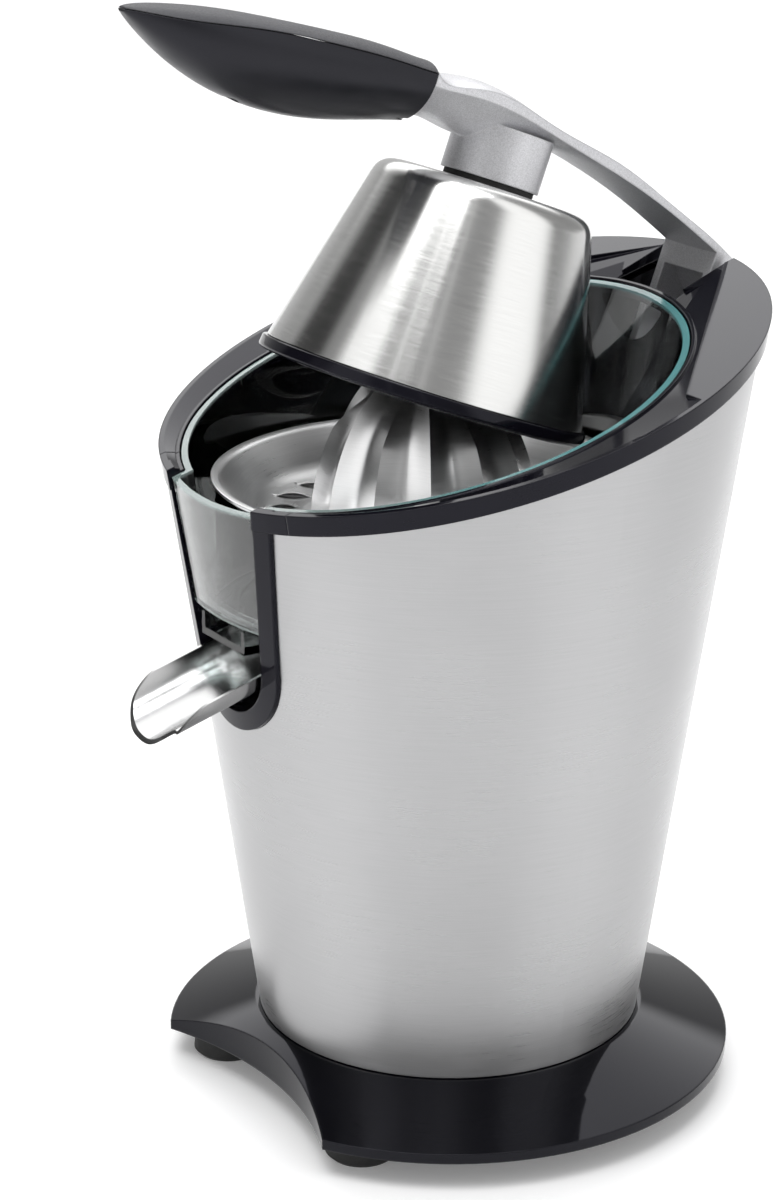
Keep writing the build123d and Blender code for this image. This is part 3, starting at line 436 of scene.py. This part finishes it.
def strainer_dish():
    """Pressed dish with slanted slots cut round the reamer."""
    outline = filleted(
        [(0.0120, 0.2016), (0.0132, 0.2016), (0.0132, 0.2046), (0.0430, 0.2046), (0.0592, 0.2067),
         (0.0701, 0.2205), (0.0725, 0.2208), (0.0725, 0.2220), (0.0694, 0.2217), (0.0586, 0.2079),
         (0.0428, 0.2058), (0.0120, 0.2058)],
        [0.0, 0.0, 0.0006, 0.004, 0.012, 0.004, 0.0003, 0.0004, 0.005, 0.012, 0.004, 0.0012], 7)
    verts, faces = lathe(outline, ON_AXIS)
    steel = brushed("strainer_steel", Vector((0, AXIS_Y, 0)), UPRIGHT, 0.90, 0.30, 0.82, flat=True,
                    depth=0.00004)
    dish = make_piece("strainer_dish", verts, faces, steel, "housing", ["strainer"], 40)
    cutter = bpy.data.meshes.new("slot_cutter")
    work = bmesh.new()
    for i in range(SLOTS):
        turn = Matrix.Rotation(2 * pi * i / SLOTS, 4, "Z") @ Matrix.Translation((SLOT_MIDDLE, 0, 0.206))
        turn = turn @ Matrix.Rotation(SLOT_TURN, 4, "Z")
        rim = []
        for k in range(16):
            angle = 2 * pi * k / 16
            reach = SLOT_HALF if cos(angle) > 0 else -SLOT_HALF
            rim.append((reach + SLOT_ROUND * cos(angle), SLOT_ROUND * sin(angle)))
        low = [work.verts.new(turn @ Vector((px, py, -0.004))) for px, py in rim]
        high = [work.verts.new(turn @ Vector((px, py, 0.004))) for px, py in rim]
        work.faces.new(low[::-1])
        work.faces.new(high)
        for k in range(16):
            work.faces.new((low[k], low[(k + 1) % 16], high[(k + 1) % 16], high[k]))
    bmesh.ops.transform(work, matrix=ON_AXIS, verts=work.verts)
    work.to_mesh(cutter)
    work.free()
    tool = bpy.data.objects.new("slot_cutter", cutter)
    scene.collection.objects.link(tool)
    cut = dish.modifiers.new("slots", "BOOLEAN")
    cut.object = tool
    cut.solver = "EXACT"
    bake(dish)
    bpy.data.objects.remove(tool)
    work = bmesh.new()
    work.from_mesh(dish.data)
    for i in range(SLOTS):
        raise_louvre(work, 2 * pi * i / SLOTS)
    work.to_mesh(dish.data)
    work.free()
    return dish


def raise_louvre(work, angle):
    """Lip of sheet bent up along one side of a strainer slot."""
    turn = ON_AXIS @ Matrix.Rotation(angle, 4, "Z") @ Matrix.Translation((SLOT_MIDDLE, 0, 0))
    turn = turn @ Matrix.Rotation(SLOT_TURN, 4, "Z")
    across = 12
    deep = 4
    skins = []
    for drop in (0.0, 0.0005):
        rows = []
        for i in range(across + 1):
            u = -SLOT_HALF + 2 * SLOT_HALF * i / across
            bulge = sin(pi * i / across) ** 0.7
            row = []
            for j in range(deep + 1):
                v = j / deep
                point = turn @ Vector((u, -0.0012 + 0.0020 * v, 0))
                reach = Vector((point.x, point.y - AXIS_Y)).length
                floor = 0.2058 + 0.002 * (reach - 0.0428) / 0.0156
                point.z = floor - 0.0002 + 0.0021 * bulge * sin(v * pi / 2) - drop
                row.append(work.verts.new(point))
            rows.append(row)
        skins.append(rows)
    top, under = skins
    for i in range(across):
        for j in range(deep):
            work.faces.new((top[i][j], top[i + 1][j], top[i + 1][j + 1], top[i][j + 1])).smooth = True
            work.faces.new((under[i][j], under[i][j + 1], under[i + 1][j + 1], under[i + 1][j])).smooth = True
        work.faces.new((top[i][deep], top[i + 1][deep], under[i + 1][deep], under[i][deep]))
        work.faces.new((top[i + 1][0], top[i][0], under[i][0], under[i + 1][0]))
    for j in range(deep):
        work.faces.new((top[0][j], top[0][j + 1], under[0][j + 1], under[0][j]))
        work.faces.new((top[across][j + 1], top[across][j], under[across][j], under[across][j + 1]))


def bake(piece):
    """Applies a piece's modifiers to its mesh."""
    graph = bpy.context.evaluated_depsgraph_get()
    mesh = bpy.data.meshes.new_from_object(piece.evaluated_get(graph))
    piece.modifiers.clear()
    piece.data = mesh


def rib_weight(turn, height):
    """1 on the crest of a rib and 0 in a flute. The ribs at 30 degrees are short and fade out."""
    long_off = abs((turn + 30) % 60 - 30) / 15
    short_off = abs(turn % 60 - 30) / 15
    fade = min(max((0.250 - height) / 0.012, 0.0), 1.0)
    return max(max(1 - long_off, 0.0) ** 1.7, fade * max(1 - short_off, 0.0) ** 1.7)


def reamer_cone():
    """Fluted cone: sharp long ribs, shorter ribs between them and hollow flutes."""
    crest = [(0.0385, REAMER_FOOT), (0.0381, 0.214), (0.0355, 0.226), (0.0308, 0.238), (0.0238, 0.249),
             (0.0145, 0.257), (0.0060, 0.2603), (0.0, 0.2606)]
    valley = [(0.0352, REAMER_FOOT), (0.0346, 0.214), (0.0316, 0.226), (0.0268, 0.238), (0.0198, 0.2475),
              (0.0110, 0.2545), (0.0045, 0.2582), (0.0, 0.2590)]
    crest_top = 0.2604
    valley_top = 0.2586
    segments = 360
    rows = 56
    verts = []
    for j in range(rows + 1):
        share = sin(j / rows * pi / 2) if j > rows * 0.5 else j / rows * sqrt(2)
        crest_z = REAMER_FOOT + (crest_top - REAMER_FOOT) * share
        valley_z = REAMER_FOOT + (valley_top - REAMER_FOOT) * share
        r_crest = max(curve_through(crest, crest_z), 0.0004)
        r_valley = max(curve_through(valley, valley_z), 0.0003)
        for i in range(segments):
            turn = i * 360 / segments
            weight = rib_weight(turn, crest_z)
            r = r_valley + (r_crest - r_valley) * weight
            z = valley_z + (crest_z - valley_z) * weight
            verts.append((r * sin(radians(turn)), AXIS_Y - r * cos(radians(turn)), z))
    faces = []
    for j in range(rows):
        for i in range(segments):
            k = (i + 1) % segments
            faces.append((j * segments + i, j * segments + k, (j + 1) * segments + k, (j + 1) * segments + i))
    foot = len(verts)
    for i in range(segments):
        turn = radians(i * 360 / segments)
        verts.append((0.0336 * sin(turn), AXIS_Y - 0.0336 * cos(turn), REAMER_FOOT))
    for i in range(segments):
        k = (i + 1) % segments
        faces.append((foot + i, foot + k, k, i))
    faces.append(tuple(foot + i for i in range(segments)))
    faces.append(tuple(rows * segments + i for i in reversed(range(segments))))
    steel = brushed("reamer_steel", Vector((0, AXIS_Y, 0)), UPRIGHT, 0.86, 0.30, 0.45, wear=0.01,
                    depth=0.000004)
    return make_piece("reamer_cone", verts, faces, steel, "reamer_drive", ["reamer"], 35)


def spring_coil(material):
    """Coil under the spindle collar. On the real press this spring shortens as the reamer is pressed."""
    low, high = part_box("return_spring")
    wire = 0.0007
    bottom = low.z + wire
    rise = high.z - wire - bottom
    turns = 3.5
    steps = 140
    sides = 12
    verts = []
    for i in range(steps + 1):
        angle = 2 * pi * turns * i / steps
        out = Vector((cos(angle), sin(angle), 0))
        middle = Vector((0, AXIS_Y, bottom + rise * i / steps)) + out * SPRING_R
        for k in range(sides):
            turn = 2 * pi * k / sides
            verts.append(tuple(middle + (out * cos(turn) + UPRIGHT * sin(turn)) * wire))
    faces = [tuple(range(sides)), tuple(steps * sides + k for k in reversed(range(sides)))]
    for i in range(steps):
        for k in range(sides):
            side = (k + 1) % sides
            faces.append((i * sides + k, i * sides + side, (i + 1) * sides + side, (i + 1) * sides + k))
    coil = make_piece("spring_coil", verts, faces, material, "output_wheel", ["return_spring"],
                      60)
    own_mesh(coil)
    return coil


# ---------- materials on the carried-over nodes ----------
def dress(names, material):
    for name in names:
        mesh = nodes[name].data
        mesh.materials.clear()
        mesh.materials.append(material)


def dress_all():
    """Gives every carried-over node its material. Returns the two that mesh pieces share."""
    body_axis = Vector((0, BODY_Y, 0))
    # The bluish tints of these black plastics are painted colour of a bluish studio light.
    gloss = moulded("gloss_black", 0.005, 0.07, (0.95, 0.90, 1.5), edge=0.0007, shine=0.20)
    base = moulded("base_black", 0.003, 0.045, (0.95, 0.95, 1.4), edge=0.0008, wave=0.00001, shine=0.24)
    matte = moulded("matte_black", 0.012, 0.42, grain=0.00004)
    liner = moulded("liner_black", 0.005, 0.16, (1.0, 1.0, 1.05), shine=0.4)
    skin = brushed("skin_steel", body_axis, UPRIGHT, 0.43, 0.29, 0.84, tint=(1.0, 1.0, 1.01), depth=0.000005)
    dress(["housing_skin"], skin)
    dress(["rim_trim", "front_frame"], gloss)
    dress(["base_flange"], base)
    dress(["base_cover", "cord_gland", "deck", "switch_body"], matte)
    dress(["inner_liner", "hinge_pocket", "press_dome"], liner)
    dress(["rubber_feet", "cup_gasket", "spindle_seal"], rubber())
    dress(["juice_bowl"], clear_plastic())
    trough = brushed("spout_steel", Vector((0, -0.074, 0.1)), Vector((0, 1, 0)), 0.44, 0.18, 0.4,
                     depth=0.000004)
    dress(["spout"], trough)
    dress(["arm_beam"], cast_silver())
    # The grip's bluish tint is painted colour of a bluish studio light.
    dress(["grip_bottom"], moulded("grip_black", 0.007, 0.33, (0.97, 0.97, 1.2), edge=0.0006, shine=0.32))
    dress(["grip_top"], grip_panel())
    zinc = machined("zinc_steel", 0.62, 0.32)
    dress(["motor_plate", "motor_can", "motor_pinion", "motor_shaft", "idler_pin", "spindle",
           "switch_bracket", "base_screws", "deck_screws", "plate_screws", "motor_screws", "grip_screws",
           "cup_bolt", "hinge_pin", "spout_pins"], zinc)
    dress(["motor_stator", "motor_armature"], machined("iron_core", 0.22, 0.5))
    bronze = machined("bronze", 0.6, 0.38, (1.0, 0.72, 0.42))
    dress(["motor_bushes", "spindle_bushes", "hinge_bushes"], bronze)
    nylon = moulded("white_nylon", 0.72, 0.38, (1.0, 0.98, 0.93), grain=0.00002)
    dress(["motor_end_cap", "cooling_fan", "idler_gear", "output_gear", "output_carrier", "idler_washers",
           "switch_plunger", "terminal_block", "cup_spacer", "friction_washers"], nylon)
    return gloss, zinc


# ---------- studio ----------
CAMERA_AZIMUTH = 57.328
CAMERA_PLACE = Vector((0.82204, -0.54169 + AXIS_Y, 0.51227))
CAMERA_AIM = Vector((-0.0116, -0.0071 + AXIS_Y, 0.1737))
CAMERA_LENS = 90.76


def add_camera():
    camera = bpy.data.cameras.new("camera")
    camera.lens = CAMERA_LENS
    camera.sensor_width = 36.0
    camera.clip_start = 0.05
    camera.clip_end = 60.0
    holder = bpy.data.objects.new("camera", camera)
    scene.collection.objects.link(holder)
    holder.location = CAMERA_PLACE
    holder.rotation_mode = "QUATERNION"
    holder.rotation_quaternion = (CAMERA_AIM - CAMERA_PLACE).to_track_quat("-Z", "Y")
    scene.camera = holder


def add_floor():
    mesh = bpy.data.meshes.new("floor")
    size = 12.0
    corners = [(-size, -size, 0), (size, -size, 0), (size, size, 0), (-size, size, 0)]
    mesh.from_pydata(corners, [], [(0, 1, 2, 3)])
    floor = bpy.data.objects.new("floor", mesh)
    scene.collection.objects.link(floor)
    sh = Shader("floor_white")
    cloud = sh.noise(sh.place, 3.0, 3.0)
    shade = sh.mix(cloud, rgb(0.90), rgb(0.93))
    sh.set(Base_Color=shade, Roughness=0.55, Emission_Color=shade)
    sh.bsdf.inputs["Emission Strength"].default_value = 0.16
    mesh.materials.append(sh.material)


FILL = 0.35                  # brightness of the bare studio
REAR_HIGH = 2.2              # wide panel behind the object, bright high up
REAR_LOW = 0.25              # and dim lower down
REAR_EDGES = (125, 160)      # degrees from the camera where that panel fades in
REAR_RISE = (0.34, 0.44)     # upward part of the direction where it brightens
CEILING = (0.85, 0.85, 0.87, 1)
CEILING_RISE = (0.84, 0.93)
# soft boxes round the object: degrees to the right of the camera, half width, fade at each side, brightness
SOFTBOXES = [(60, 15, 15, 1.1), (-55, 10, 15, 0.8), (-20, 1, 2, 0.3), (5, 1, 2, 0.3), (-105, 10, 10, -0.3)]


def add_world():
    """Grey studio with tall soft boxes and a wide panel behind. The camera itself sees plain white."""
    world = bpy.data.worlds.new("studio")
    scene.world = world
    world.use_nodes = True
    tree = world.node_tree
    tree.nodes.clear()
    out = tree.nodes.new("ShaderNodeOutputWorld")
    coords = tree.nodes.new("ShaderNodeTexCoord")
    parts = tree.nodes.new("ShaderNodeSeparateXYZ")
    tree.links.new(coords.outputs["Generated"], parts.inputs[0])

    def math(operation, a, b=0.0):
        node = tree.nodes.new("ShaderNodeMath")
        node.operation = operation
        for socket, value in zip(node.inputs, (a, b)):
            if isinstance(value, bpy.types.NodeSocket):
                tree.links.new(value, socket)
            else:
                socket.default_value = value
        return node.outputs[0]

    def rise(value, start, end):
        node = tree.nodes.new("ShaderNodeMapRange")
        node.interpolation_type = "SMOOTHSTEP"
        tree.links.new(value, node.inputs[0])
        node.inputs[1].default_value = start
        node.inputs[2].default_value = end
        return node.outputs[0]

    azimuth = math("ARCTAN2", parts.outputs[0], math("MULTIPLY", parts.outputs[1], -1.0))
    from_camera = math("DIVIDE", math("SUBTRACT", azimuth, radians(CAMERA_AZIMUTH)), 2 * pi)
    turned = math("FRACT", math("ADD", from_camera, 0.5))
    degrees_right = math("SUBTRACT", math("MULTIPLY", turned, 360.0), 180.0)
    front = FILL
    for middle, half, fade, value in SOFTBOXES:
        away = math("ABSOLUTE", math("SUBTRACT", degrees_right, middle))
        inside = math("SUBTRACT", 1.0, rise(away, half, half + fade))
        front = math("ADD", front, math("MULTIPLY", inside, value))
    behind = rise(math("ABSOLUTE", degrees_right), *REAR_EDGES)
    up = parts.outputs[2]
    rear = math("ADD", REAR_LOW, math("MULTIPLY", rise(up, *REAR_RISE), REAR_HIGH - REAR_LOW))
    level = math("ADD", front, math("MULTIPLY", behind, rear))
    blend = tree.nodes.new("ShaderNodeMix")
    blend.data_type = "RGBA"
    tree.links.new(rise(up, *CEILING_RISE), blend.inputs[0])
    tree.links.new(level, blend.inputs[6])
    blend.inputs[7].default_value = CEILING
    studio = tree.nodes.new("ShaderNodeBackground")
    tree.links.new(blend.outputs[2], studio.inputs["Color"])
    plain = tree.nodes.new("ShaderNodeBackground")
    plain.inputs["Color"].default_value = (1, 1, 1, 1)
    seen = tree.nodes.new("ShaderNodeMixShader")
    tree.links.new(tree.nodes.new("ShaderNodeLightPath").outputs["Is Camera Ray"], seen.inputs[0])
    tree.links.new(studio.outputs[0], seen.inputs[1])
    tree.links.new(plain.outputs[0], seen.inputs[2])
    tree.links.new(seen.outputs[0], out.inputs["Surface"])


def add_light(name, azimuth, elevation, distance, size, power):
    """Square soft light aimed at the middle of the object."""
    light = bpy.data.lights.new(name, "AREA")
    light.shape = "SQUARE"
    light.size = size
    light.energy = power
    lamp = bpy.data.objects.new(name, light)
    scene.collection.objects.link(lamp)
    turn = radians(azimuth)
    rise = radians(elevation)
    away = Vector((sin(turn) * cos(rise), -cos(turn) * cos(rise), sin(rise)))
    aim = Vector((0, 0, 0.18))
    lamp.location = aim + away * distance
    lamp.rotation_mode = "QUATERNION"
    lamp.rotation_quaternion = (-away).to_track_quat("-Z", "Y")


def main():
    gloss, zinc = dress_all()
    cup_shell()
    cup_lip(gloss)
    strainer_dish()
    reamer_cone()
    spring_coil(zinc)
    add_camera()
    add_floor()
    add_world()
    add_light("top", 20, 78, 1.6, 1.3, 20.0)
    scene.view_settings.view_transform = "Standard"
    scene.view_settings.look = "None"


main()
